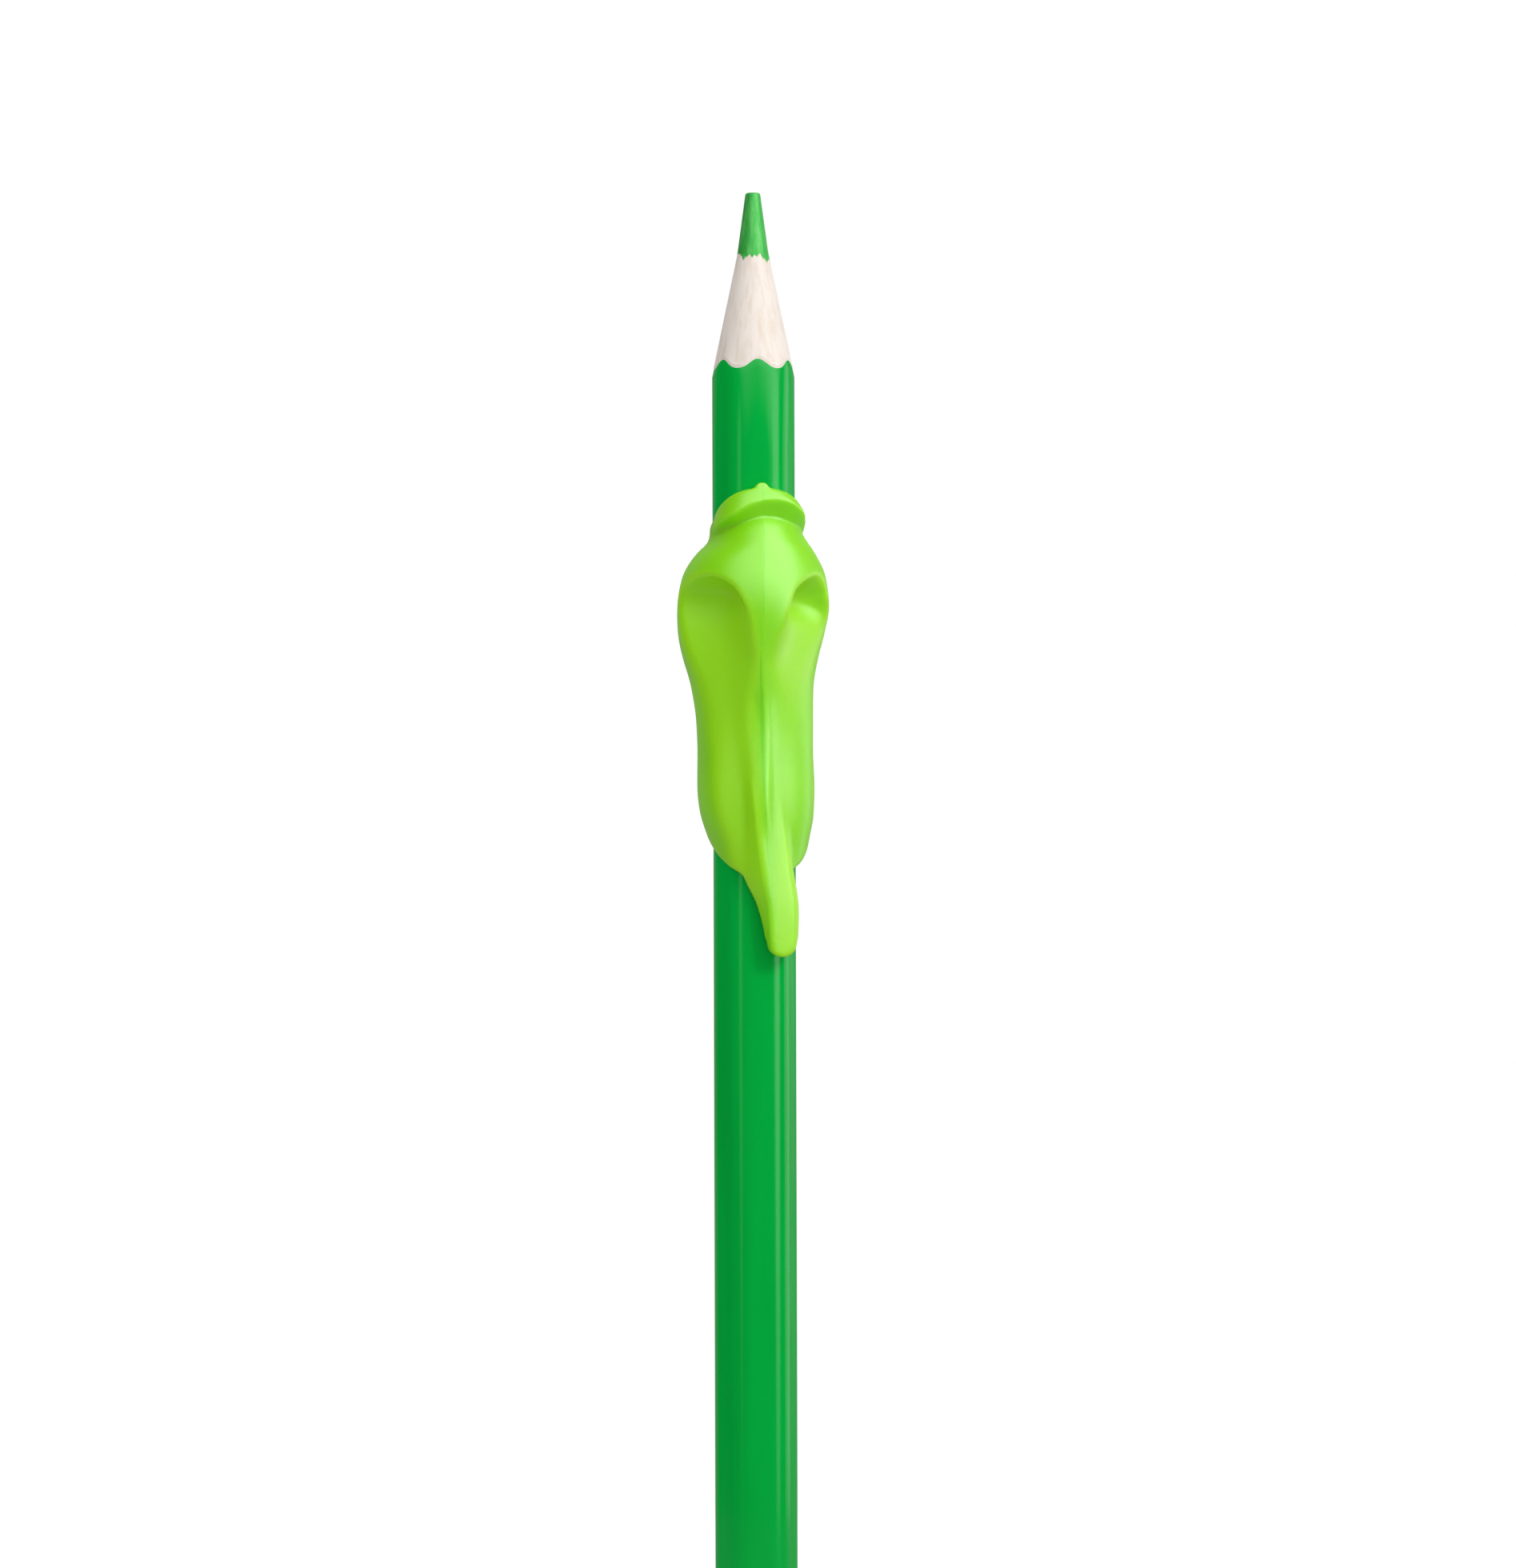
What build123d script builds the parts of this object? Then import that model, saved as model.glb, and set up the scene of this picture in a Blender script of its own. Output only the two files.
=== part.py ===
"""Coloured pencil, sharpened, wearing a soft moulded finger grip.

The pencil stands on its flat rear end with its point up, so the origin is the centre of that end and
+Z runs along the lead. The grip's back, with the ridge between its finger hollows, faces -Y. All sizes
are in millimetres and all angles in degrees.
"""

import os
from math import cos, radians, sin, sqrt, tan

from build123d import *

os.makedirs("parts", exist_ok=True)

# Pencil: a hexagonal casing of two glued slats round a coloured lead, lacquered and sharpened
pencil_length = 175.0
across_flats = 7.0
corner_radius = 2.4
lacquer_thickness = 0.15
lead_diameter = 2.8
lead_point_length = 5.5
tip_diameter = 1.3
tip_rounding = 0.25
wood_taper_angle = 12.0

# Grip on the pencil: its mouth is a slanted ring, nearer the point at the back than at the belly
mouth_from_point = 29.2
mouth_tilt = 24.0
bore_clearance = 0.05

# Rolled lip round the mouth: its height along the pencil and how far it stands out from the bore
lip_height = 2.2
lip_side = 0.63
lip_back = 1.26
lip_belly = 0.66

# Body sections, each set by how far it lies below the mouth and by the wall it leaves round the bore:
# at either side, at the back and at the belly
throat_side = 0.53
throat_back = 0.86
throat_belly = 0.56

collar_drop = 0.8
collar_side = 0.46
collar_back = 1.61
collar_belly = 0.46

shoulder_drop = 3.6
shoulder_side = 2.06
shoulder_back = 3.01
shoulder_belly = 1.21

head_drop = 7.3
head_side = 3.03
head_back = 3.76
head_belly = 2.86

cheek_drop = 11.6
cheek_side = 2.43
cheek_back = 3.36
cheek_belly = 2.56

waist_drop = 17.6
waist_side = 1.44
waist_back = 1.91
waist_belly = 1.71

hip_drop = 24.6
hip_side = 1.46
hip_back = 2.16
hip_belly = 1.71

rump_drop = 27.6
rump_side = 1.01
rump_back = 2.06
rump_belly = 1.01

rear_side = 0.39
rear_back = 1.01
rear_belly = 0.39

# Rear rim, cut on a slant so that the back runs further down the pencil than the belly
rim_drop = 28.9
rim_tilt = 30.0

# Finger hollows: a blunt fingertip pressed in on each side of the back line, running in towards that
# line as it comes down from its nose
hollow_wall = 0.98
hollow_edge_radius = 0.6
finger_radius = 7.0
finger_nose_radius = 3.4
finger_length = 30.0
finger_angle = 50.0
finger_drop = 7.3
finger_reach = 4.0
finger_lean_out = 4.0
finger_lean_in = 35.0

# Tail: a tongue that grows out of the hip and then stands free of the pencil; its right edge runs nearly
# straight down and its left edge comes in to meet it
tail_root_drop = 22.4
tail_root_depth = 0.3
tail_root_width = 2.2
tail_root_thickness = 2.4
tail_shoulder_drop = 30.0
tail_shoulder_left = 2.0
tail_shoulder_right = 2.6
tail_tip_drop = 38.4
tail_tip_width = 2.5
tail_tip_thickness = 1.4
tail_lift = 1.1
tail_sweep = 1.6
tail_edge_radius = 0.6

# Values worked out from the sizes above
lead_radius = lead_diameter / 2
lead_shoulder = pencil_length - lead_point_length
barrel_reach = across_flats / sqrt(3) - corner_radius * (2 / sqrt(3) - 1)
bore_radius = barrel_reach + bore_clearance
mouth_height = pencil_length - mouth_from_point
mouth_slope = tan(radians(mouth_tilt))
rim_slope = tan(radians(rim_tilt))


# Hexagon over the lacquer, with a flat towards the grip's back, and the bare wood inside it
with BuildSketch() as barrel_section:
    RegularPolygon(radius=across_flats / 2, side_count=6, major_radius=False)
    fillet(barrel_section.vertices(), corner_radius)

with BuildSketch() as casing_section:
    add(barrel_section.sketch)
    offset(amount=-lacquer_thickness, mode=Mode.REPLACE)

# The grip's bore, stretched to the hexagon and just clear of it
with BuildSketch() as bore_section:
    add(barrel_section.sketch)
    offset(amount=bore_clearance, mode=Mode.REPLACE)

# What the sharpener leaves of the casing: everything inside a cone that ends at the lead
with BuildPart() as sharpened_form:
    cone_foot_radius = across_flats
    cone_length = (cone_foot_radius - lead_radius) / tan(radians(wood_taper_angle))
    with BuildSketch(Plane.XZ):
        with BuildLine():
            Polyline(
                (0, 0),
                (cone_foot_radius, 0),
                (cone_foot_radius, lead_shoulder - cone_length),
                (lead_radius, lead_shoulder),
                (0, lead_shoulder),
                close=True,
            )
        make_face()
    revolve(axis=Axis.Z)


# Coloured lead, a rod from end to end with a blunt point
with BuildPart() as lead_core:
    with BuildSketch(Plane.XZ):
        with BuildLine():
            Polyline(
                (0, 0),
                (lead_radius, 0),
                (lead_radius, lead_shoulder),
                (tip_diameter / 2, pencil_length),
                (0, pencil_length),
                close=True,
            )
        make_face()
    revolve(axis=Axis.Z)
    fillet(lead_core.edges().group_by(Axis.Z)[-1], tip_rounding)

lead_core.part.label = "lead_core"
export_step(lead_core.part, "parts/lead_core.step")


# Half of the casing, split through two corners of the hexagon, with half of the lead's groove
with BuildPart() as upper_slat:
    add(casing_section.sketch)
    extrude(amount=pencil_length)
    Cylinder(
        lead_radius,
        pencil_length,
        align=(Align.CENTER, Align.CENTER, Align.MIN),
        mode=Mode.SUBTRACT,
    )
    add(sharpened_form.part, mode=Mode.INTERSECT)
    split(bisect_by=Plane.XZ, keep=Keep.TOP)

upper_slat.part.label = "upper_slat"
export_step(upper_slat.part, "parts/upper_slat.step")


# The other half, glued to the first face to face
with BuildPart() as lower_slat:
    add(upper_slat.part)
    mirror(about=Plane.XZ, mode=Mode.REPLACE)

lower_slat.part.label = "lower_slat"
export_step(lower_slat.part, "parts/lower_slat.step")


# Lacquer skin, cut to scallops by the sharpening
with BuildPart() as lacquer_coat:
    add(barrel_section.sketch)
    extrude(amount=pencil_length)
    add(casing_section.sketch)
    extrude(amount=pencil_length, mode=Mode.SUBTRACT)
    add(sharpened_form.part, mode=Mode.INTERSECT)

lacquer_coat.part.label = "lacquer_coat"
export_step(lacquer_coat.part, "parts/lacquer_coat.step")


# The two fingertips that press the hollows
outward = Vector(sin(radians(finger_angle)), -cos(radians(finger_angle)), 0)
sideways = Vector(cos(radians(finger_angle)), sin(radians(finger_angle)), 0)
upward = Vector(0, 0, 1)
finger_distance = bore_radius + hollow_wall + finger_radius
finger_middle = outward * finger_distance + upward * (mouth_height - finger_drop)
finger_direction = (
    upward
    + outward * tan(radians(finger_lean_out))
    + sideways * tan(radians(finger_lean_in))
).normalized()
finger_axis = Axis(finger_middle, finger_direction)
finger_cross = finger_direction.cross(upward).normalized()
finger_plane = Plane(finger_middle, x_dir=finger_cross, z_dir=finger_cross.cross(finger_direction))

with BuildPart() as fingertips:
    with BuildSketch(finger_plane):
        with BuildLine():
            Polyline(
                (0, finger_reach),
                (finger_radius, finger_reach),
                (finger_radius, finger_reach - finger_length),
                (0, finger_reach - finger_length),
                close=True,
            )
        make_face()
    revolve(axis=finger_axis)
    fillet(fingertips.edges().sort_by(finger_axis)[-1], finger_nose_radius)
    mirror(about=Plane.YZ)


# The rolled lip, a slanted disc with rounded rims; the bore later leaves only its outer ring
mouth_plane = Plane((0, 0, mouth_height), x_dir=(1, 0, 0), z_dir=(0, mouth_slope, 1))
with BuildPart() as lip:
    stretch = 1 / cos(radians(mouth_tilt))
    with BuildSketch(mouth_plane.offset(-lip_height / 2)):
        with BuildLine():
            side_reach = bore_radius + lip_side
            EllipticalCenterArc((0, 0), side_reach, (bore_radius + lip_belly) * stretch, 0, arc_size=180)
            EllipticalCenterArc((0, 0), side_reach, (bore_radius + lip_back) * stretch, 180, arc_size=180)
        make_face()
    extrude(amount=lip_height)
    fillet(lip.edges().filter_by(lambda edge: edge.length > lip_height), 0.45 * lip_height)


# The tail tongue: its outline from the front, cut to its thickness from the side and rounded
with BuildPart() as tail:
    root_radius = tail_root_width / 2
    tip_radius = tail_tip_width / 2
    root_height = mouth_height - tail_root_drop
    shoulder_height = mouth_height - tail_shoulder_drop
    tip_height = mouth_height - tail_tip_drop
    right_root = (root_radius, root_height - root_radius)
    left_root = (-root_radius, root_height - root_radius)
    right_tip = (tail_sweep + tip_radius, tip_height + tip_radius)
    left_tip = (tail_sweep - tip_radius, tip_height + tip_radius)
    with BuildSketch(Plane.XZ):
        with BuildLine():
            ThreePointArc(right_root, (0, root_height), left_root)
            Spline(left_root, (-tail_shoulder_left, shoulder_height), left_tip, tangents=((0, -1), (0, -1)))
            ThreePointArc(left_tip, (tail_sweep, tip_height), right_tip)
            Spline(right_tip, (tail_shoulder_right, shoulder_height), right_root, tangents=((0, 1), (0, 1)))
        make_face()
    extrude(amount=2 * across_flats)
    root_outside = bore_radius + hip_back - tail_root_depth
    tip_outside = across_flats / 2 + tail_lift + tail_tip_thickness
    with BuildSketch(Plane.YZ):
        with BuildLine():
            Polyline(
                (-root_outside, root_height),
                (-tip_outside, tip_height),
                (tail_tip_thickness - tip_outside, tip_height),
                (tail_root_thickness - root_outside, root_height),
                close=True,
            )
        make_face()
    extrude(amount=2 * across_flats, both=True, mode=Mode.INTERSECT)
    fillet(tail.edges().filter_by(Axis.Y, reverse=True), tail_edge_radius)


# The grip: one soft moulding, with the lip and the tail on it and the pencil's bore through it
rim_plane = Plane((0, 0, mouth_height - rim_drop), x_dir=(1, 0, 0), z_dir=(0, -rim_slope, 1))
throat_drop = -(bore_radius + collar_back) * mouth_slope
rear_drop = rim_drop + (bore_radius + rump_back) * rim_slope
with BuildPart() as grip:
    for drop, side, back, belly in (
        (rear_drop, rear_side, rear_back, rear_belly),
        (rump_drop, rump_side, rump_back, rump_belly),
        (hip_drop, hip_side, hip_back, hip_belly),
        (waist_drop, waist_side, waist_back, waist_belly),
        (cheek_drop, cheek_side, cheek_back, cheek_belly),
        (head_drop, head_side, head_back, head_belly),
        (shoulder_drop, shoulder_side, shoulder_back, shoulder_belly),
        (collar_drop, collar_side, collar_back, collar_belly),
        (throat_drop, throat_side, throat_back, throat_belly),
    ):
        with BuildSketch(Plane.XY.offset(mouth_height - drop)):
            with BuildLine():
                side_reach = bore_radius + side
                EllipticalCenterArc((0, 0), side_reach, bore_radius + belly, 0, arc_size=180)
                EllipticalCenterArc((0, 0), side_reach, bore_radius + back, 180, arc_size=180)
            make_face()
    loft()
    add(fingertips.part, mode=Mode.SUBTRACT)
    fillet(grip.edges(Select.LAST), hollow_edge_radius)
    split(bisect_by=mouth_plane, keep=Keep.BOTTOM)
    split(bisect_by=rim_plane, keep=Keep.TOP)
    add(tail.part)
    add(lip.part)
    add(bore_section.sketch)
    extrude(amount=pencil_length, mode=Mode.SUBTRACT)

grip.part.label = "grip"
export_step(grip.part, "parts/grip.step")
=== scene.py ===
"""A sharpened green coloured pencil wearing a soft lime-green finger grip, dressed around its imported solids."""

from math import cos, radians, sin, tan

import bmesh
import bpy
import numpy as np
import openvdb
from mathutils import Matrix, Vector


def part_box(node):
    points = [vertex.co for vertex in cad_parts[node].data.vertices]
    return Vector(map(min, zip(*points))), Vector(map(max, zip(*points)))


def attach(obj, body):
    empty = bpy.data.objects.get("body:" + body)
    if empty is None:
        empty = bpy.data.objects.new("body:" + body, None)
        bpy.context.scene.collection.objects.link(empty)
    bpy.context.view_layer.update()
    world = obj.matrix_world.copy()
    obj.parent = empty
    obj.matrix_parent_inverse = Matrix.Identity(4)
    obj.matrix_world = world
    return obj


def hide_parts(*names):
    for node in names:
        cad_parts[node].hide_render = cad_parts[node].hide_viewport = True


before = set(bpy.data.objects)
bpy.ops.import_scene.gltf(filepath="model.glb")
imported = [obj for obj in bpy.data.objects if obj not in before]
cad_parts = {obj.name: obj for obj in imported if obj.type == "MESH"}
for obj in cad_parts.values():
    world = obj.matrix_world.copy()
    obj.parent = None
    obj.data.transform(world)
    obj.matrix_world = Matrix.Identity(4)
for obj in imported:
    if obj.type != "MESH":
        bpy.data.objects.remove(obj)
for leftover in ("Cube", "Light", "Camera"):
    if leftover in bpy.data.objects:
        bpy.data.objects.remove(bpy.data.objects[leftover])
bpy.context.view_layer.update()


# Lead: a rod of wax and green pigment from end to end of the pencil. The sharpener turned its point, which
# is worn blunt and carries the fine scratches of the blade.
lead_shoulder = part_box("upper_slat")[1].z
ragged_height = lead_shoulder - 0.0003
pale_wood = (0.80, 0.66, 0.53, 1.0)
pigment = (0.025, 0.38, 0.038, 1.0)
pigment_dark = (0.004, 0.28, 0.025, 1.0)
pigment_pale = (0.11, 0.50, 0.105, 1.0)


def add_node(tree, kind, inputs=None, **settings):
    """One node with its settings made, and its inputs set to values or wired to sockets."""
    node = tree.nodes.new(kind)
    for key, value in settings.items():
        setattr(node, key, value)
    for key, value in (inputs or {}).items():
        if isinstance(value, bpy.types.NodeSocket):
            tree.links.new(value, node.inputs[key])
        else:
            node.inputs[key].default_value = value
    return node


def reckon(tree, operation, one, other):
    """One sum in a node tree."""
    return add_node(tree, "ShaderNodeMath", {0: one, 1: other}, operation=operation).outputs[0]


def add_ramp(tree, level, *stops):
    """The colour that a ramp gives a level; each stop is a position and a colour."""
    ramp = add_node(tree, "ShaderNodeValToRGB", {"Fac": level})
    marks = ramp.color_ramp.elements
    marks.remove(marks[1])
    marks[0].position, marks[0].color = stops[0]
    for position, colour in stops[1:]:
        marks.new(position).color = colour
    return ramp.outputs["Color"]


def start_finish(name):
    """A new material, its node tree and its Principled shader."""
    finish = bpy.data.materials.new(name)
    finish.use_nodes = True
    return finish, finish.node_tree, finish.node_tree.nodes["Principled BSDF"]


def start_group(name, inputs, outputs, tree_kind="ShaderNodeTree"):
    """A node group with named inputs and outputs."""
    group = bpy.data.node_groups.new(name, tree_kind)
    for label, socket_kind, value in inputs:
        socket = group.interface.new_socket(name=label, in_out="INPUT", socket_type=socket_kind)
        if value is not None:
            socket.default_value = value
    for label, socket_kind in outputs:
        group.interface.new_socket(name=label, in_out="OUTPUT", socket_type=socket_kind)
    return group, add_node(group, "NodeGroupInput").outputs, add_node(group, "NodeGroupOutput").inputs


# Blade scratches: streaks drawn out along the pencil, and round specks of the same fineness
blade_marks, marks_in, marks_out = start_group(
    "blade_marks",
    [
        ("Coordinates", "NodeSocketVector", None),
        ("Fineness", "NodeSocketFloat", 2000.0),
        ("Length", "NodeSocketFloat", 0.08),
    ],
    [("Streaks", "NodeSocketFloat"), ("Specks", "NodeSocketFloat")],
)
stretch = add_node(blade_marks, "ShaderNodeCombineXYZ", {"X": 1.0, "Y": 1.0, "Z": marks_in["Length"]})
drawn_out = add_node(
    blade_marks, "ShaderNodeVectorMath", {0: marks_in["Coordinates"], 1: stretch.outputs[0]}, operation="MULTIPLY"
)
streaks = add_node(
    blade_marks,
    "ShaderNodeTexNoise",
    {"Vector": drawn_out.outputs[0], "Scale": marks_in["Fineness"], "Detail": 4.0, "Roughness": 0.6},
)
specks = add_node(
    blade_marks,
    "ShaderNodeTexNoise",
    {"Vector": marks_in["Coordinates"], "Scale": marks_in["Fineness"], "Detail": 3.0, "Roughness": 0.65},
)
blade_marks.links.new(streaks.outputs["Fac"], marks_out["Streaks"])
blade_marks.links.new(specks.outputs["Fac"], marks_out["Specks"])

# Ragged line where lead and wood meet on the sharpened cone: 1 on the lead's side, 0 on the wood's
ragged_line, ragged_in, ragged_out = start_group(
    "ragged_line",
    [
        ("Coordinates", "NodeSocketVector", None),
        ("Height", "NodeSocketFloat", lead_shoulder),
        ("Depth", "NodeSocketFloat", 0.0012),
        ("Softness", "NodeSocketFloat", 0.0001),
    ],
    [("Lead", "NodeSocketFloat")],
)
tongue_space = add_node(
    ragged_line,
    "ShaderNodeVectorMath",
    {0: ragged_in["Coordinates"], 1: (1.0, 1.0, 0.15)},
    operation="MULTIPLY",
)
tongues = add_node(
    ragged_line,
    "ShaderNodeTexNoise",
    {"Vector": tongue_space.outputs[0], "Scale": 650.0, "Detail": 3.0, "Roughness": 0.65},
)
tongue_reach = reckon(ragged_line, "SUBTRACT", tongues.outputs["Fac"], 0.5)
tongue_height = reckon(ragged_line, "MULTIPLY", tongue_reach, ragged_in["Depth"])
ragged_place = add_node(ragged_line, "ShaderNodeSeparateXYZ", {0: ragged_in["Coordinates"]})
above_line = reckon(ragged_line, "SUBTRACT", ragged_place.outputs["Z"], ragged_in["Height"])
lead_side = add_node(
    ragged_line,
    "ShaderNodeMapRange",
    {
        "Value": reckon(ragged_line, "ADD", above_line, tongue_height),
        "From Min": reckon(ragged_line, "MULTIPLY", ragged_in["Softness"], -1.0),
        "From Max": ragged_in["Softness"],
    },
    interpolation_type="SMOOTHSTEP",
)
ragged_line.links.new(lead_side.outputs[0], ragged_out["Lead"])

green_lead, tree, shader = start_finish("green_lead")
place = add_node(tree, "ShaderNodeTexCoord").outputs["Object"]
marks = add_node(
    tree, "ShaderNodeGroup", {"Coordinates": place, "Fineness": 2600.0, "Length": 0.12}, node_tree=blade_marks
)
lead_tone = add_ramp(
    tree, marks.outputs["Streaks"], (0.32, pigment_dark), (0.5, pigment), (0.72, pigment_pale)
)
edge = add_node(
    tree,
    "ShaderNodeGroup",
    {"Coordinates": place, "Height": ragged_height, "Depth": 0.0022},
    node_tree=ragged_line,
)
lead_colour = add_node(
    tree, "ShaderNodeMix", {"Factor": edge.outputs["Lead"], "A": pale_wood, "B": lead_tone}, data_type="RGBA"
)
tree.links.new(lead_colour.outputs["Result"], shader.inputs["Base Color"])
lead_dullness = add_node(
    tree, "ShaderNodeMapRange", {"Value": marks.outputs["Specks"], "To Min": 0.38, "To Max": 0.62}
)
tree.links.new(lead_dullness.outputs[0], shader.inputs["Roughness"])
lead_relief = add_node(
    tree, "ShaderNodeBump", {"Height": marks.outputs["Streaks"], "Strength": 0.35, "Distance": 0.00015}
)
tree.links.new(lead_relief.outputs["Normal"], shader.inputs["Normal"])

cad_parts["lead_core"].material_slots[0].material = green_lead


# Slats: two halves of a pale wooden casing, grooved for the lead and glued round it. The sharpener's cone
# bares their grain, and a little pigment is smeared on it next to the lead.
wood_light = (0.90, 0.815, 0.745, 1.0)
wood_dark = (0.79, 0.675, 0.57, 1.0)

bare_wood, tree, shader = start_finish("bare_wood")
place = add_node(tree, "ShaderNodeTexCoord").outputs["Object"]
marks = add_node(
    tree, "ShaderNodeGroup", {"Coordinates": place, "Fineness": 1500.0, "Length": 0.05}, node_tree=blade_marks
)
grain = add_ramp(tree, marks.outputs["Streaks"], (0.3, wood_dark), (0.55, wood_light))
edge = add_node(
    tree,
    "ShaderNodeGroup",
    {"Coordinates": place, "Height": ragged_height, "Depth": 0.0034, "Softness": 0.00012},
    node_tree=ragged_line,
)
wood_colour = add_node(
    tree, "ShaderNodeMix", {"Factor": edge.outputs["Lead"], "A": grain, "B": pigment}, data_type="RGBA"
)
tree.links.new(wood_colour.outputs["Result"], shader.inputs["Base Color"])
shader.inputs["Roughness"].default_value = 0.62
wood_relief = add_node(
    tree, "ShaderNodeBump", {"Height": marks.outputs["Streaks"], "Strength": 0.3, "Distance": 0.00012}
)
tree.links.new(wood_relief.outputs["Normal"], shader.inputs["Normal"])

for slat in ("upper_slat", "lower_slat"):
    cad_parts[slat].material_slots[0].material = bare_wood


# Lacquer coat: several dips of glossy green lacquer over the hexagonal casing, cut to scallops by the
# sharpener. The dips leave it faintly wavy, and handling leaves fine rubs in the gloss.
across_flats = 0.007
corner_radius = 0.0024
lacquer_thickness = 0.00015
lead_radius = 0.0014
cut_slope = tan(radians(12.0))
scallop_drop = 0.0003
lacquer_green = (0.0008, 0.47, 0.058, 1.0)
lacquer_deep = (0.0006, 0.43, 0.050, 1.0)

green_lacquer, tree, shader = start_finish("green_lacquer")
place = add_node(tree, "ShaderNodeTexCoord").outputs["Object"]
dips = add_node(tree, "ShaderNodeMapping", {"Vector": place, "Scale": (1.0, 1.0, 0.12)})
waves = add_node(
    tree, "ShaderNodeTexNoise", {"Vector": dips.outputs[0], "Scale": 420.0, "Detail": 2.0, "Roughness": 0.45}
)
lacquer_tone = add_ramp(tree, waves.outputs["Fac"], (0.35, lacquer_deep), (0.65, lacquer_green))
tree.links.new(lacquer_tone, shader.inputs["Base Color"])
rubs = add_node(
    tree, "ShaderNodeTexNoise", {"Vector": place, "Scale": 2200.0, "Detail": 5.0, "Roughness": 0.7}
)
gloss = add_node(
    tree,
    "ShaderNodeMapRange",
    {"Value": rubs.outputs["Fac"], "From Min": 0.3, "From Max": 0.75, "To Min": 0.1, "To Max": 0.2},
)
tree.links.new(gloss.outputs[0], shader.inputs["Roughness"])
shader.inputs["Specular IOR Level"].default_value = 0.06
shader.inputs["Coat Weight"].default_value = 0.1
shader.inputs["Coat Roughness"].default_value = 0.05
lacquer_relief = add_node(
    tree, "ShaderNodeBump", {"Height": waves.outputs["Fac"], "Strength": 0.12, "Distance": 0.0003}
)
tree.links.new(lacquer_relief.outputs["Normal"], shader.inputs["Normal"])

sleeve, sleeve_in, sleeve_out = start_group(
    "lacquer_sleeve",
    [
        ("Rear", "NodeSocketFloat", 0.0),
        ("Across Flats", "NodeSocketFloat", across_flats),
        ("Corner Radius", "NodeSocketFloat", corner_radius),
        ("Thickness", "NodeSocketFloat", lacquer_thickness),
        ("Cone Top", "NodeSocketFloat", 0.175),
        ("Cone Slope", "NodeSocketFloat", cut_slope),
        ("Nicks", "NodeSocketFloat", 0.0001),
        ("Finish", "NodeSocketMaterial", None),
    ],
    [("Geometry", "NodeSocketGeometry")],
    "GeometryNodeTree",
)

# Inside of the sleeve: a hexagon with rounded corners, drawn along a line one metre long
half_flats = reckon(sleeve, "MULTIPLY", sleeve_in["Across Flats"], 0.5)
inside_flat = reckon(sleeve, "SUBTRACT", half_flats, sleeve_in["Thickness"])
inside_corner = reckon(sleeve, "SUBTRACT", sleeve_in["Corner Radius"], sleeve_in["Thickness"])
hexagon = add_node(
    sleeve,
    "GeometryNodeCurvePrimitiveCircle",
    {"Resolution": 6, "Radius": reckon(sleeve, "DIVIDE", inside_flat, cos(radians(30)))},
)
rounded = add_node(
    sleeve,
    "GeometryNodeFilletCurve",
    {"Curve": hexagon.outputs["Curve"], "Count": 16, "Radius": inside_corner},
    mode="POLY",
)
section = add_node(
    sleeve, "GeometryNodeResampleCurve", {"Curve": rounded.outputs["Curve"], "Count": 240}, mode="COUNT"
)
axis = add_node(sleeve, "GeometryNodeCurvePrimitiveLine", {"End": (0.0, 0.0, 1.0)})
stations = add_node(
    sleeve, "GeometryNodeResampleCurve", {"Curve": axis.outputs["Curve"], "Count": 24}, mode="COUNT"
)
inside = add_node(
    sleeve,
    "GeometryNodeCurveToMesh",
    {"Curve": stations.outputs["Curve"], "Profile Curve": section.outputs["Curve"]},
).outputs["Mesh"]

# Thickness: the outside is pushed out from the inside, and the two are sewn together
outside = add_node(
    sleeve,
    "GeometryNodeExtrudeMesh",
    {"Mesh": inside, "Offset Scale": sleeve_in["Thickness"], "Individual": False},
    mode="FACES",
)
lining = add_node(sleeve, "GeometryNodeFlipFaces", {"Mesh": inside})
both = add_node(sleeve, "GeometryNodeJoinGeometry", {"Geometry": lining.outputs["Mesh"]})
sleeve.links.new(outside.outputs["Mesh"], both.inputs["Geometry"])
sewn = add_node(
    sleeve, "GeometryNodeMergeByDistance", {"Geometry": both.outputs["Geometry"], "Distance": 0.000001}
)

# Length: every line along the sleeve runs from the rear end to the sharpener's cone, which is lower where
# the sleeve is wider, and the cut edge is nicked here and there
spot = add_node(sleeve, "GeometryNodeInputPosition").outputs[0]
spot_axes = add_node(sleeve, "ShaderNodeSeparateXYZ", {0: spot}).outputs
flat_spot = add_node(sleeve, "ShaderNodeVectorMath", {0: spot, 1: (1.0, 1.0, 0.0)}, operation="MULTIPLY")
reach = add_node(sleeve, "ShaderNodeVectorMath", {0: flat_spot.outputs[0]}, operation="LENGTH").outputs["Value"]
nick = add_node(
    sleeve, "ShaderNodeTexNoise", {"Vector": flat_spot.outputs[0], "Scale": 1500.0, "Detail": 2.0}
).outputs["Fac"]
nick_height = reckon(sleeve, "MULTIPLY", reckon(sleeve, "SUBTRACT", nick, 0.5), sleeve_in["Nicks"])
cone_drop = reckon(sleeve, "DIVIDE", reach, sleeve_in["Cone Slope"])
cut_height = reckon(sleeve, "ADD", reckon(sleeve, "SUBTRACT", sleeve_in["Cone Top"], cone_drop), nick_height)
run = reckon(sleeve, "MULTIPLY", spot_axes["Z"], reckon(sleeve, "SUBTRACT", cut_height, sleeve_in["Rear"]))
settled = add_node(
    sleeve,
    "ShaderNodeCombineXYZ",
    {"X": spot_axes["X"], "Y": spot_axes["Y"], "Z": reckon(sleeve, "ADD", sleeve_in["Rear"], run)},
)
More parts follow.
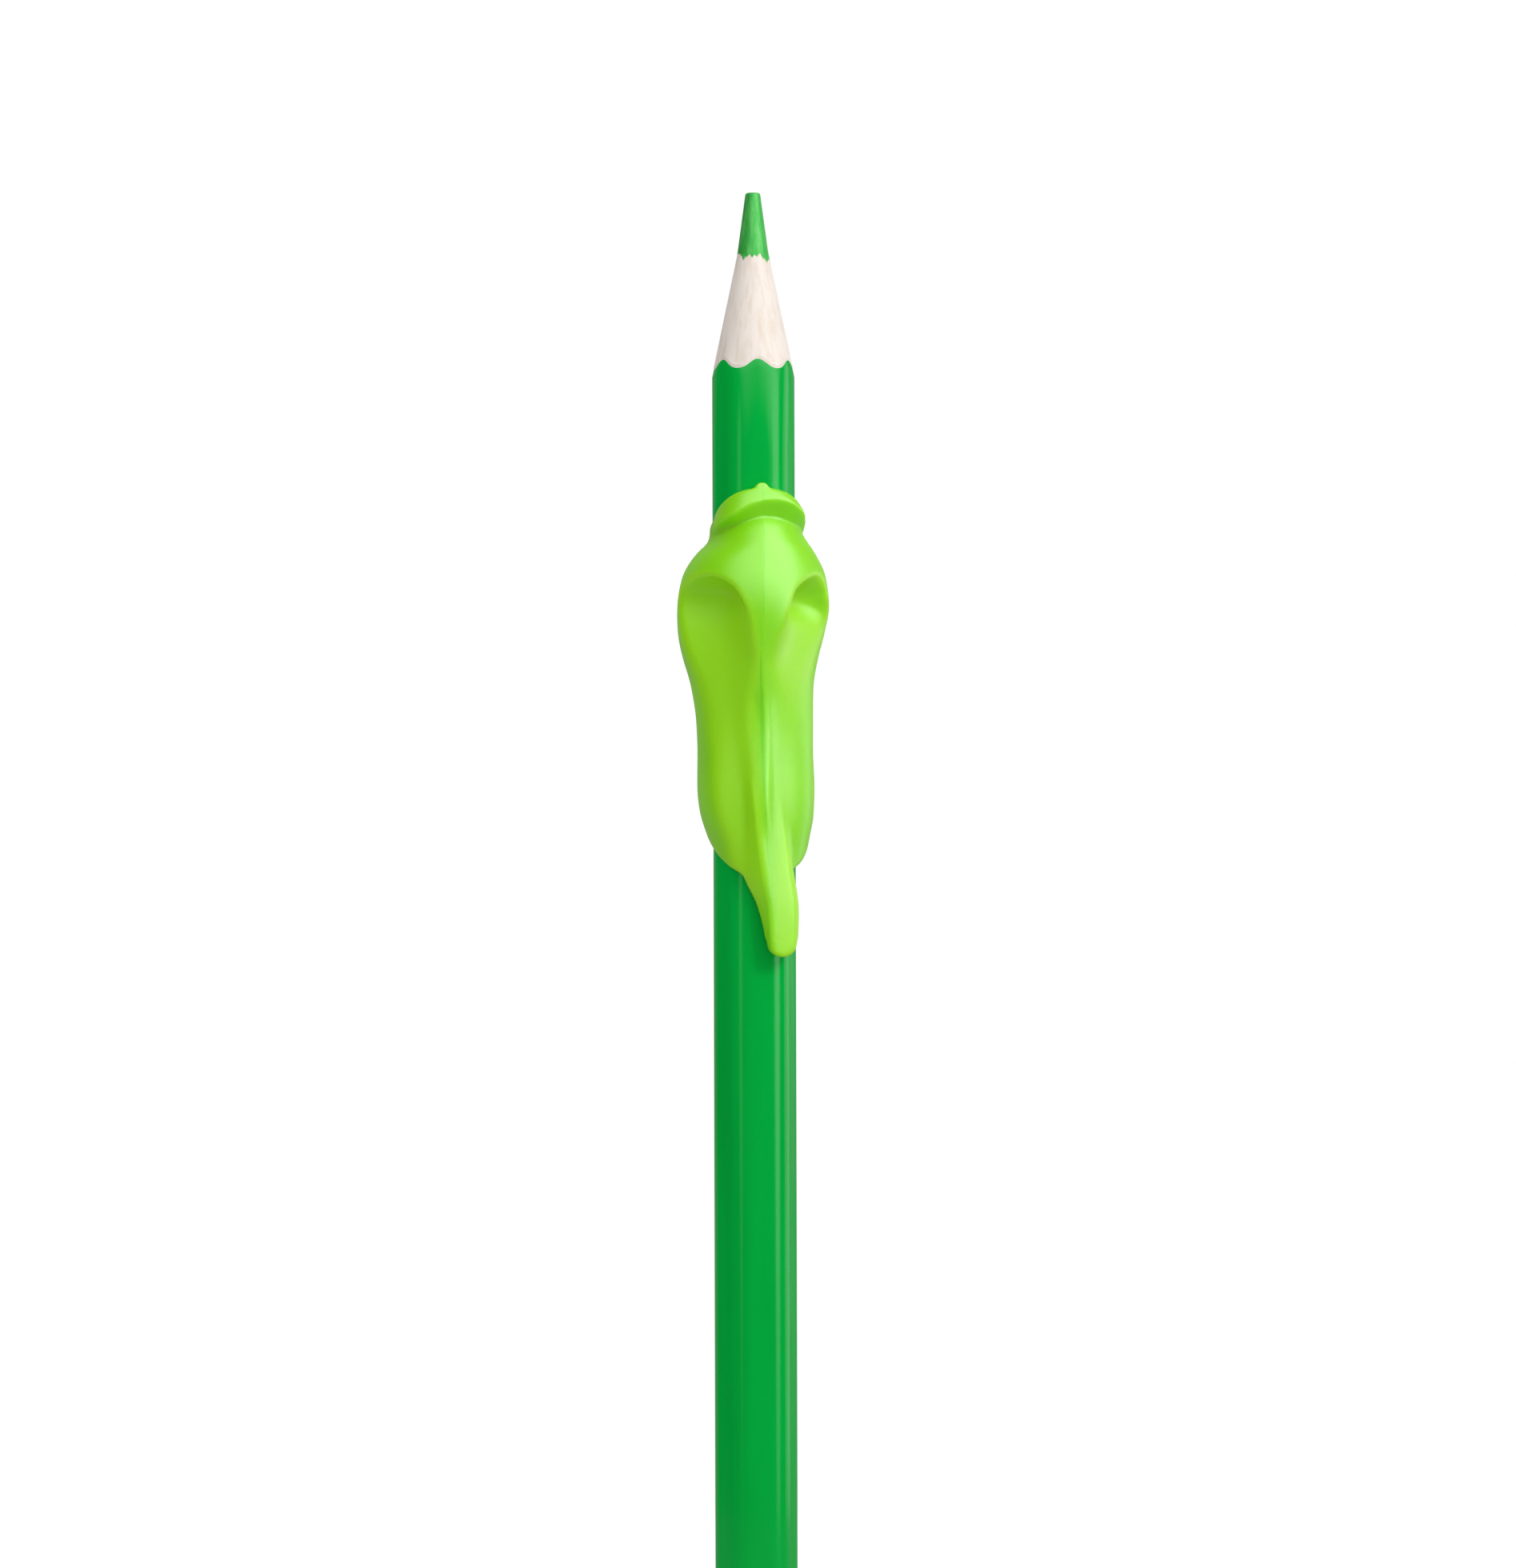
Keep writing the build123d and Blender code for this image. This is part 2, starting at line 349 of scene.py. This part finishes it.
placed = add_node(
    sleeve, "GeometryNodeSetPosition", {"Geometry": sewn.outputs["Geometry"], "Position": settled.outputs[0]}
)
plain = add_node(sleeve, "GeometryNodeRealizeInstances", {"Geometry": placed.outputs["Geometry"]})
dressed = add_node(
    sleeve, "GeometryNodeSetMaterial", {"Geometry": plain.outputs["Geometry"], "Material": sleeve_in["Finish"]}
)
sleeve.links.new(dressed.outputs["Geometry"], sleeve_out["Geometry"])

lacquer_skin = bpy.data.objects.new("lacquer_skin", bpy.data.meshes.new("lacquer_blank"))
bpy.context.scene.collection.objects.link(lacquer_skin)
drawing = lacquer_skin.modifiers.new("lacquer_sleeve", "NODES")
drawing.node_group = sleeve
sleeve_values = {
    "Rear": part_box("lacquer_coat")[0].z,
    "Cone Top": lead_shoulder + lead_radius / cut_slope - scallop_drop,
    "Finish": green_lacquer,
}
for socket in sleeve.interface.items_tree:
    if socket.in_out == "INPUT" and socket.name in sleeve_values:
        drawing[socket.identifier] = sleeve_values[socket.name]
drawn = lacquer_skin.evaluated_get(bpy.context.evaluated_depsgraph_get())
lacquer_mesh = bpy.data.meshes.new_from_object(drawn)
lacquer_skin.modifiers.remove(drawing)
lacquer_skin.data = lacquer_mesh
lacquer_mesh.polygons.foreach_set("use_smooth", [True] * len(lacquer_mesh.polygons))
lacquer_mesh.set_sharp_from_angle(angle=radians(40.0))

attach(lacquer_skin, "pencil")
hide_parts("lacquer_coat")


# Grip: one soft silicone moulding pushed on over the point and stretched to the pencil. It has a rolled
# lip, a domed head, two finger hollows that run up into pockets with a V ridge between them, a hip and a
# free tail, and the mould's parting line runs down its back.

# Sizes in millimetres; a drop is a distance below the middle of the mouth
mouth_height = 145.8
mouth_slope = tan(radians(24.0))
rim_drop = 28.7
rim_slope = tan(radians(34.0))
bore_flat = 3.53
bore_corner = 2.4
thin_wall = 0.22
seam_height = 0.07
seam_breadth = 0.3
dip_drop = 16.6
dip_depth = 0.14
tail_root = 22.5
tail_tip = 37.2
tip_side = 1.85
tip_radius = 1.42
face_slope = 0.3
cell = 0.165

# Body: its reach to the sides, the back and the belly at each drop, and how far its middle leans aside
side_reach = [
    (-3.0, 4.1), (0.6, 4.1), (1.2, 4.15), (1.84, 4.42), (2.8, 5.2), (4.6, 6.25), (5.8, 6.55), (7.6, 6.75),
    (9.9, 6.57), (12.1, 6.07), (14.2, 5.55), (16.4, 5.28), (19.8, 5.14), (24.8, 5.15), (26.2, 5.0), (28.2, 4.5),
    (31.2, 3.95), (34.0, 3.8),
]
back_reach = [
    (-3.0, 4.0), (-1.0, 4.05), (-0.4, 4.2), (0.6, 5.05), (2.2, 6.1), (4.0, 6.8), (6.0, 7.3), (7.8, 7.45),
    (10.0, 7.25), (12.0, 6.85), (14.0, 6.3), (16.0, 5.78), (18.0, 5.58), (21.0, 5.7), (24.3, 5.95), (27.0, 5.8),
    (29.5, 5.35), (33.0, 4.6),
]
belly_reach = [
    (-3.0, 4.15), (1.4, 4.15), (3.0, 4.75), (5.0, 5.75), (7.5, 6.5), (10.0, 6.65), (13.0, 6.1), (17.0, 5.45),
    (22.0, 5.4), (25.0, 5.3), (27.0, 4.8), (29.0, 4.3), (33.0, 4.1),
]
lean = [
    (-3.0, 0.24), (1.2, 0.26), (1.9, 0.32), (3.0, 0.15), (5.0, 0.0), (8.0, -0.08), (12.0, -0.28), (14.5, -0.16),
    (17.0, 0.0), (22.0, 0.1), (25.0, 0.16), (28.0, 0.35), (33.0, 0.45),
]

# Finger hollows: their floor's distance from the axis, their radius and their turn from the back line in
# degrees; then how the right one differs in turn, floor and the rounding of its edge
hollow_floor = [
    (3.5, 8.6), (4.3, 7.4), (4.8, 6.7), (5.3, 5.9), (5.8, 5.2), (6.4, 4.65), (7.2, 4.45), (8.2, 4.6), (9.2, 4.85),
    (11.2, 5.05), (13.0, 5.08), (15.0, 5.05), (18.0, 5.05), (21.0, 5.12), (23.0, 5.12), (25.0, 5.05), (27.0, 4.95),
    (30.0, 4.75), (33.0, 4.6),
]
hollow_curve = [
    (3.5, 1.4), (4.6, 2.0), (5.4, 2.6), (7.3, 3.3), (9.2, 4.8), (11.2, 7.4), (13.0, 12.0), (15.0, 11.0), (17.0, 7.0),
    (19.5, 4.4), (22.0, 3.0), (25.0, 2.0), (28.0, 1.7), (33.0, 1.6),
]
hollow_turn = [
    (3.3, 52.0), (4.6, 51.0), (5.4, 46.0), (7.3, 40.0), (9.0, 38.0), (12.0, 36.0), (16.0, 35.0), (18.0, 33.0),
    (20.0, 29.5), (22.0, 26.5), (24.5, 23.5), (28.0, 22.0), (33.0, 22.0),
]
right_turn = [
    (3.3, 2.0), (6.0, 5.0), (8.0, 9.0), (10.0, 9.0), (13.0, 7.0), (17.0, 3.0), (20.0, 0.0), (33.0, 0.0),
]
right_rise = [
    (4.3, 0.0), (4.8, 0.15), (5.3, 0.3), (5.8, 0.35), (6.4, 0.1), (7.0, -0.2), (7.6, -0.25), (8.4, -0.1), (9.4, 0.0),
    (12.0, 0.0), (21.0, 0.8), (33.0, 0.8),
]
right_edge = [(7.0, 0.0), (8.0, 0.0), (10.0, 0.5), (12.0, 0.9), (15.0, 1.5), (18.0, 1.7), (33.0, 1.7)]

# Tail: its outer face, its thickness, and where its crest and its two edges run
tail_outside = [
    (21.0, 5.0), (22.5, 5.45), (24.5, 5.85), (27.0, 5.95), (31.0, 6.0), (34.0, 6.0), (37.2, 5.85), (39.0, 5.7),
]
tail_thickness = [(21.0, 2.4), (31.0, 2.25), (34.1, 2.1), (37.2, 1.9), (39.0, 1.8)]
tail_crest = [
    (21.0, -1.1), (24.0, -0.9), (26.0, -0.65), (28.5, -0.33), (31.2, 0.05), (34.1, 0.47), (37.2, 0.68), (39.0, 0.75),
]
tail_left = [
    (21.0, -1.9), (24.0, -1.9), (26.0, -1.95), (28.5, -2.0), (31.2, -1.85), (34.1, -0.5), (37.2, 0.3), (39.0, 0.4),
]
tail_right = [(21.0, 1.5), (24.0, 1.8), (27.0, 2.4), (31.2, 2.95), (34.1, 3.35), (37.2, 3.3), (39.0, 3.25)]

# Parting line: how broad the painted shade along it is
seam_shade_breadth = [
    (-3.0, 0.3), (0.0, 0.4), (3.0, 0.5), (6.0, 0.5), (9.0, 0.3), (12.0, 0.4), (15.0, 1.0), (19.0, 1.6), (22.0, 1.2),
    (25.0, 0.6), (29.0, 0.4), (33.0, 0.1), (39.0, 0.05),
]


def faired(at, stations):
    """A smooth line through given stations, each a distance and the size there."""
    places, sizes = np.array(stations, float).T
    slopes = np.gradient(sizes, places)
    span = np.clip(np.searchsorted(places, at) - 1, 0, len(places) - 2)
    gap = places[span + 1] - places[span]
    share = np.clip((at - places[span]) / gap, 0.0, 1.0)
    rise = share * share * (3 - 2 * share)
    bend_out = share * (1 - share) ** 2 * gap * slopes[span]
    bend_in = share * share * (share - 1) * gap * slopes[span + 1]
    return sizes[span] * (1 - rise) + sizes[span + 1] * rise + bend_out + bend_in


def blended_cut(one, other, softness):
    """What is inside both shapes, with their shared edge rounded."""
    overlap = np.maximum(softness - np.abs(one - other), 0.0)
    return np.maximum(one, other) + overlap * overlap / (4 * softness)


def blended_join(one, other, softness):
    """What is inside either shape, with the corner between them filled."""
    return -blended_cut(-one, -other, softness)


# Each shape is a field of distances to its surface, below zero inside, on a grid of cells
low, high = (np.array(end) * 1000 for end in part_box("grip"))
across, through, along = (
    cell * np.arange(np.floor((low[way] - 1) / cell), np.ceil((high[way] + 1) / cell) + 1) for way in range(3)
)
straight, y, z = np.meshgrid(across, through, along, indexing="ij")
drops = mouth_height - along
drop = mouth_height - z
x = straight - faired(drops, lean)
radius = np.hypot(x, y)
side_share = np.abs(x) / np.maximum(radius, 0.01)
back_share = -y / np.maximum(radius, 0.01)

# Body: at each height two half ovals, a back one and a belly one, that share their width
shoulder_fall = np.where(x < 0, 2.0 * side_share**1.5, side_share**2)
shoulder_drop = drop - shoulder_fall * np.clip((3.5 - drop) / 2.5, 0, 1)
depth_reach = np.where(y < 0, faired(shoulder_drop, back_reach), faired(drops, belly_reach))
neck_dent = np.where(x > 0, 0.13, 0.02) * np.exp(-(((drop - 0.5) / 0.7) ** 2))
width_reach = faired(drops, side_reach) - neck_dent
oval = np.sqrt((side_share / width_reach) ** 2 + (back_share / depth_reach) ** 2)
body = radius - 1 / oval

# Finger hollows: a round form pressed in at each height on both sides of the back line, eased outwards
turn = np.radians(faired(drops, hollow_turn) + np.where(x > 0, faired(drops, right_turn), 0))
curve = faired(drops, hollow_curve)
away = faired(drops, hollow_floor) + np.where(x > 0, faired(drops, right_rise), 0) + curve
finger_side = np.abs(x) - away * np.sin(turn)
finger_back = y + away * np.cos(turn)
beyond = finger_side * np.cos(turn) + finger_back * np.sin(turn)
deeper = finger_side * np.sin(turn) - finger_back * np.cos(turn)
outer_ease = np.where(x < 0, 0.3, 1 - 0.5 * np.clip((drop - 7.0) / 2.5, 0, 1))
fingers = np.hypot(np.where(beyond > 0, outer_ease * beyond, beyond), deeper) - curve
hollow_edge = 0.5 + faired(drops, right_edge) * np.clip(x + 0.2, 0, 1)
body = blended_cut(body, -fingers, hollow_edge)

# Parting line: a low crest down the middle of the back, with a small dip beside it at the waist
body = body - seam_height * np.exp(-np.abs(x) / seam_breadth) * np.clip(-y / 3, 0, 1)
dip = np.hypot((x + 0.5) / 0.3, (drop - dip_drop) / 1.4)
body = body + dip_depth * np.exp(-dip * dip) * (y < 0)

# Bore: the hexagon of the pencil, with its rounded corners; the wall is stretched thin at the corners
across_half, through_half = np.abs(straight), np.abs(y)
fold = np.minimum(-cos(radians(30)) * across_half + 0.5 * through_half, 0)
across_half = across_half + 2 * fold * cos(radians(30))
through_half = through_half - fold
flat = bore_flat - bore_corner
half_side = flat * tan(radians(30))
across_half = across_half - np.clip(across_half, -half_side, half_side)
bore = np.hypot(across_half, through_half - flat) * np.sign(through_half - flat) - bore_corner
body = blended_join(body, bore - thin_wall, 0.15)

# Mouth and rear rim, both cut on a slant
mouth_rise = ((z - mouth_height) + mouth_slope * y) / np.hypot(1, mouth_slope)
rim_rise = ((z - mouth_height + rim_drop) - rim_slope * y) / np.hypot(1, rim_slope)
body = blended_cut(body, mouth_rise + 0.3, 0.2)
body = blended_cut(body, -rim_rise, 0.5)

# Rolled lip: a band that flares down to an edge, proud of the neck, and tucks back in under it; it is
# twice as deep at the back as at the sides, has a nub on its top, and fades out on the belly
lip_line = -0.1 - 0.72 * y
lip_top = lip_line + 0.55 * np.exp(-((x / 0.62) ** 4)) * (y < 0)
lip_foot = -1.1 - 0.27 * y - 0.45 * np.clip(-x / 2.5, 0, 1)
lip_share = (z - mouth_height - lip_foot) / np.maximum(lip_line - lip_foot, 0.6)
lip_turn = np.interp(x, (-3.5, -2.6, -1.2, 1.1, 2.4, 3.5), (0.2, 0.22, 0.35, 0.48, 0.44, 0.37))
lip_back = np.clip(back_share, 0.001, 1)
lip_side = 4.34 - 0.22 * np.clip(-x / 3, 0, 1)
lip_edge = ((side_share / lip_side) ** 3 + (lip_back / 5.0) ** 3) ** (-1 / 3)
lip_edge = np.where(y < 0, lip_edge, lip_side - 0.5 * np.clip(y / 2, 0, 1) ** 1.5)
lip_neck = 4.02 + 0.1 * lip_back**2
lip_crown = ((side_share / 3.9) ** 2.3 + (lip_back / 4.2) ** 2.3) ** (-1 / 2.3)
lip_crown = np.where(y < 0, lip_crown, 3.9)
lip_bevel = np.minimum((lip_share - lip_turn) / (1 - lip_turn), 1.0)
lip_flare = 0.85 * (radius - lip_edge + (lip_edge - lip_crown) * lip_bevel)
lip_tuck = 0.8 * (radius - lip_edge + (lip_edge - lip_neck) * (1 - lip_share / lip_turn))
lip = blended_cut(lip_flare, lip_tuck, 0.15)
lip = blended_cut(lip, (z - mouth_height - lip_top) / 1.12, 0.4)
lip = blended_cut(lip, lip_foot - z + mouth_height, 0.15)
grip_form = blended_join(body, lip, 0.05)

# Tail: a tongue that leaves the hip and sweeps to one side, with a crest along it, a broad face on the
# right of the crest and a steep flank on the left
tail_height = -y - faired(drops, tail_outside)
crest_side = straight - faired(drops, tail_crest)
flank_run = np.maximum(faired(drops, tail_crest) - faired(drops, tail_left), 0.2)
flank_slope = faired(drops, tail_thickness) / flank_run
tail_face = (tail_height + face_slope * crest_side) / np.hypot(1, face_slope)
tail_flank = (tail_height - flank_slope * crest_side) / np.hypot(1, flank_slope)
tail = blended_cut(tail_face, tail_flank, 0.3)
tail = blended_cut(tail, straight - faired(drops, tail_right), 0.8)
tail = blended_cut(tail, -tail_height - faired(drops, tail_thickness), 0.5)
tip_reach = np.hypot(straight - tip_side, np.maximum(drop - tail_tip, 0))
tail = blended_cut(tail, tip_reach - tip_radius - np.maximum(tail_tip - drop, 0), 0.3)
tail = blended_cut(tail, tail_root - drop, 0.8)
grip_form = blended_join(grip_form, tail, 0.3)

# The pencil's hole is taken out last, and the surface becomes a mesh in metres
grip_form = blended_cut(grip_form, -bore, 0.2)
volume = openvdb.FloatGrid(5.0)
volume.copyFromArray(np.ascontiguousarray(np.clip(grip_form, -5, 5), dtype=np.float32))
points, quads = volume.convertToQuads(0.0)
grid_corner = np.array([across[0], through[0], along[0]])
points = (points * cell + grid_corner) / 1000
skin = bpy.data.meshes.new("finger_grip")
skin.from_pydata(points.tolist(), [], quads.tolist())
shell = bmesh.new()
shell.from_mesh(skin)
for _ in range(2):
    bmesh.ops.smooth_vert(
        shell, verts=shell.verts, factor=0.5, use_axis_x=True, use_axis_y=True, use_axis_z=True
    )
bmesh.ops.recalc_face_normals(shell, faces=shell.faces)
shell.to_mesh(skin)
shell.free()
skin.polygons.foreach_set("use_smooth", [True] * len(skin.polygons))

# Marks that the colour follows: the distance from the parting line, which carries a line of painted shade, and how
# deep in a hollow a point lies, which carries painted light
spots = np.empty(len(skin.vertices) * 3)
skin.vertices.foreach_get("co", spots)
spots = spots.reshape(-1, 3) * 1000
spot_drops = mouth_height - spots[:, 2]
seam_line = faired(spot_drops, lean) + 0.9 * np.clip((spot_drops - 29) / 8, 0, 1)
seam_width = np.maximum(faired(spot_drops, seam_shade_breadth), 0.02)
seam_gaps = np.where(spots[:, 1] < 0, np.abs(spots[:, 0] - seam_line) / seam_width, 9.0)
skin.attributes.new("seam_side", "FLOAT", "POINT").data.foreach_set("value", seam_gaps.astype(np.float32))
spot_cells = np.rint((spots - grid_corner) / cell).astype(int)
hollow_gaps = np.maximum(fingers[tuple(spot_cells.T)], 0)
hollow_marks = np.exp(-((hollow_gaps / 0.6) ** 2))
skin.attributes.new("pressed", "FLOAT", "POINT").data.foreach_set("value", hollow_marks.astype(np.float32))
finger_grip = bpy.data.objects.new("finger_grip", skin)
bpy.context.scene.collection.objects.link(finger_grip)

lime = (0.285, 0.785, 0.003, 1.0)
lime_deep = (0.27, 0.755, 0.003, 1.0)
# Painted light: the hollows take a lighter, yellower lime than the rest of the grip
hollow_painted_light = (0.37, 0.84, 0.003, 1.0)
# Painted shade: a darker lime along the parting line
seam_painted_shade = (0.20, 0.71, 0.003, 1.0)

lime_silicone, tree, shader = start_finish("lime_silicone")
place = add_node(tree, "ShaderNodeTexCoord").outputs["Object"]
clouds = add_node(tree, "ShaderNodeTexNoise", {"Vector": place, "Scale": 260.0, "Detail": 3.0, "Roughness": 0.5})
lime_tone = add_ramp(tree, clouds.outputs["Fac"], (0.35, lime_deep), (0.62, lime))
pressed = add_node(tree, "ShaderNodeAttribute", attribute_name="pressed").outputs["Fac"]
# Painted light: the lighter lime of the hollows is mixed in where a point lies deep in a hollow
lime_with_painted_light = add_node(
    tree, "ShaderNodeMix", {"Factor": pressed, "A": lime_tone, "B": hollow_painted_light}, data_type="RGBA"
)
seam_side = add_node(tree, "ShaderNodeAttribute", attribute_name="seam_side").outputs["Fac"]
# Painted shade: the darker lime is laid in a line along the parting line
seam_shade_share = add_node(
    tree,
    "ShaderNodeMapRange",
    {"Value": seam_side, "From Min": 0.05, "From Max": 0.2, "To Min": 1.0, "To Max": 0.0},
    interpolation_type="SMOOTHSTEP",
)
lime_with_painted_shade = add_node(
    tree,
    "ShaderNodeMix",
    {"Factor": seam_shade_share.outputs[0], "A": lime_with_painted_light.outputs["Result"], "B": seam_painted_shade},
    data_type="RGBA",
)
tree.links.new(lime_with_painted_shade.outputs["Result"], shader.inputs["Base Color"])
bloom = add_node(tree, "ShaderNodeTexNoise", {"Vector": place, "Scale": 3800.0, "Detail": 3.0, "Roughness": 0.6})
satin = add_node(tree, "ShaderNodeMapRange", {"Value": bloom.outputs["Fac"], "To Min": 0.36, "To Max": 0.46})
tree.links.new(satin.outputs[0], shader.inputs["Roughness"])
shader.inputs["Specular IOR Level"].default_value = 0.5
shader.inputs["Subsurface Weight"].default_value = 0.85
shader.inputs["Subsurface Radius"].default_value = (1.0, 1.0, 0.3)
shader.inputs["Subsurface Scale"].default_value = 0.0014
grip_relief = add_node(
    tree, "ShaderNodeBump", {"Height": bloom.outputs["Fac"], "Strength": 0.06, "Distance": 0.0001}
)
tree.links.new(grip_relief.outputs["Normal"], shader.inputs["Normal"])
skin.materials.append(lime_silicone)

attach(finger_grip, "grip")
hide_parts("grip")


# Floor: a pale matt disc that the pencil stands on. It is seen as white and keeps the pencil's shadow.
# White comes from a glow that only the camera and clear materials see.
floor_radius = 0.45
pure_white = (1.0, 1.0, 1.0, 1.0)
floor_grey = (0.5, 0.5, 0.5, 1.0)
shadow_grey = (0.4, 0.4, 0.4, 1.0)

floor_mesh = bpy.data.meshes.new("studio_floor")
floor_form = bmesh.new()
bmesh.ops.create_circle(floor_form, cap_ends=True, radius=floor_radius, segments=64)
floor_form.to_mesh(floor_mesh)
floor_form.free()
studio_floor = bpy.data.objects.new("studio_floor", floor_mesh)
bpy.context.scene.collection.objects.link(studio_floor)

pale_floor, tree, shader = start_finish("pale_floor")
tree.nodes.remove(shader)
rays = add_node(tree, "ShaderNodeLightPath").outputs
seen = reckon(tree, "MAXIMUM", rays["Is Camera Ray"], rays["Is Transmission Ray"])
matt = add_node(tree, "ShaderNodeBsdfDiffuse", {"Color": floor_grey})
faint = add_node(tree, "ShaderNodeBsdfDiffuse", {"Color": shadow_grey})
glow = add_node(tree, "ShaderNodeEmission", {"Color": pure_white, "Strength": 0.85})
lifted = add_node(tree, "ShaderNodeAddShader", {0: faint.outputs[0], 1: glow.outputs[0]})
floor_mix = add_node(tree, "ShaderNodeMixShader", {0: seen, 1: matt.outputs[0], 2: lifted.outputs[0]})
tree.links.new(floor_mix.outputs[0], tree.nodes["Material Output"].inputs["Surface"])
floor_mesh.materials.append(pale_floor)


# Surround: plain white to the camera, an even soft fill for the light on the object, and a few soft boxes
# that show only in the gloss. Each box has a direction, its outer and inner edge as cosines, and a level.
fill_towards = (0.45, -0.75, 0.48)
soft_boxes = [
    ((0.50, -0.55, 0.67), 0.70, 0.92, 7.6),
    ((0.78, -0.60, 0.17), 0.93, 0.985, 9.0),
    ((0.947, 0.322, 0.0), 0.93, 0.975, 2.5),
    ((-0.17, -0.67, 0.72), 0.74, 0.93, 4.5),
    ((-0.70, -0.71, 0.05), 0.98, 0.996, 2.5),
    ((0.0, 1.0, 0.0), 0.5, 0.7, 0.35),
]

surround = bpy.data.worlds.new("white_surround")
surround.use_nodes = True
surround.cycles.sampling_method = "NONE"
bpy.context.scene.world = surround
tree = surround.node_tree
tree.nodes.remove(tree.nodes["Background"])
rays = add_node(tree, "ShaderNodeLightPath").outputs
way = add_node(tree, "ShaderNodeTexCoord").outputs["Generated"]


def soft_light(towards, outer, inner, dark, bright):
    """A soft-edged bright area of the surround, round one direction."""
    share = add_node(tree, "ShaderNodeVectorMath", {0: way, 1: towards}, operation="DOT_PRODUCT")
    level = add_node(
        tree,
        "ShaderNodeMapRange",
        {"Value": share.outputs["Value"], "From Min": outer, "From Max": inner, "To Min": dark, "To Max": bright},
        interpolation_type="SMOOTHSTEP",
    )
    return level.outputs[0]


even = soft_light(fill_towards, -0.9, 1.0, 0.61, 0.76)
boxes = 0.0
for towards, outer, inner, level in soft_boxes:
    boxes = reckon(tree, "MAXIMUM", soft_light(towards, outer, inner, 0.0, level), boxes)
glow_level = add_node(tree, "ShaderNodeMix", {"Factor": rays["Is Glossy Ray"], "A": even, "B": boxes})
seen = reckon(tree, "MAXIMUM", rays["Is Camera Ray"], rays["Is Transmission Ray"])
fill = add_node(tree, "ShaderNodeBackground", {"Color": pure_white, "Strength": glow_level.outputs["Result"]})
white = add_node(tree, "ShaderNodeBackground", {"Color": pure_white, "Strength": 1.0})
sky = add_node(tree, "ShaderNodeMixShader", {0: seen, 1: fill.outputs[0], 2: white.outputs[0]})
tree.links.new(sky.outputs[0], tree.nodes["World Output"].inputs["Surface"])


# Lamp: one soft square key light, high up in front of the grip on its right. It is kept out of the gloss,
# which shows the soft boxes instead.
lamp_place = Vector((0.19, -0.30, 0.35))
grip_middle = Vector((0.0, 0.0, 0.128))

key_light = bpy.data.lights.new("key_lamp", "AREA")
key_light.size = 0.12
key_light.energy = 0.52
key_lamp = bpy.data.objects.new("key_lamp", key_light)
key_lamp.location = lamp_place
key_lamp.rotation_euler = (lamp_place - grip_middle).to_track_quat("Z", "Y").to_euler()
key_lamp.visible_glossy = False
bpy.context.scene.collection.objects.link(key_lamp)


# Camera: level with the grip, a little to the left of square on and turned a hair, with a long lens. It
# stands as far off as makes the picture as wide as the frame at the pencil.
frame_width = 0.1348
azimuth = radians(-7.3)
roll = radians(-0.16)
aim_side = 0.00032
aim = Vector((aim_side * cos(azimuth), aim_side * sin(azimuth), 0.12245))

camera_data = bpy.data.cameras.new("camera")
camera_data.sensor_fit = "HORIZONTAL"
camera_data.sensor_width = 36.0
camera_data.lens = 135.0
stand_off = camera_data.lens / camera_data.sensor_width * frame_width
camera = bpy.data.objects.new("camera", camera_data)
camera.location = aim + stand_off * Vector((sin(azimuth), -cos(azimuth), 0.0))
upright = (camera.location - aim).to_track_quat("Z", "Y").to_matrix()
camera.rotation_euler = (upright @ Matrix.Rotation(roll, 3, "Z")).to_euler()
bpy.context.scene.collection.objects.link(camera)
bpy.context.scene.camera = camera
bpy.context.scene.view_settings.view_transform = "Standard"
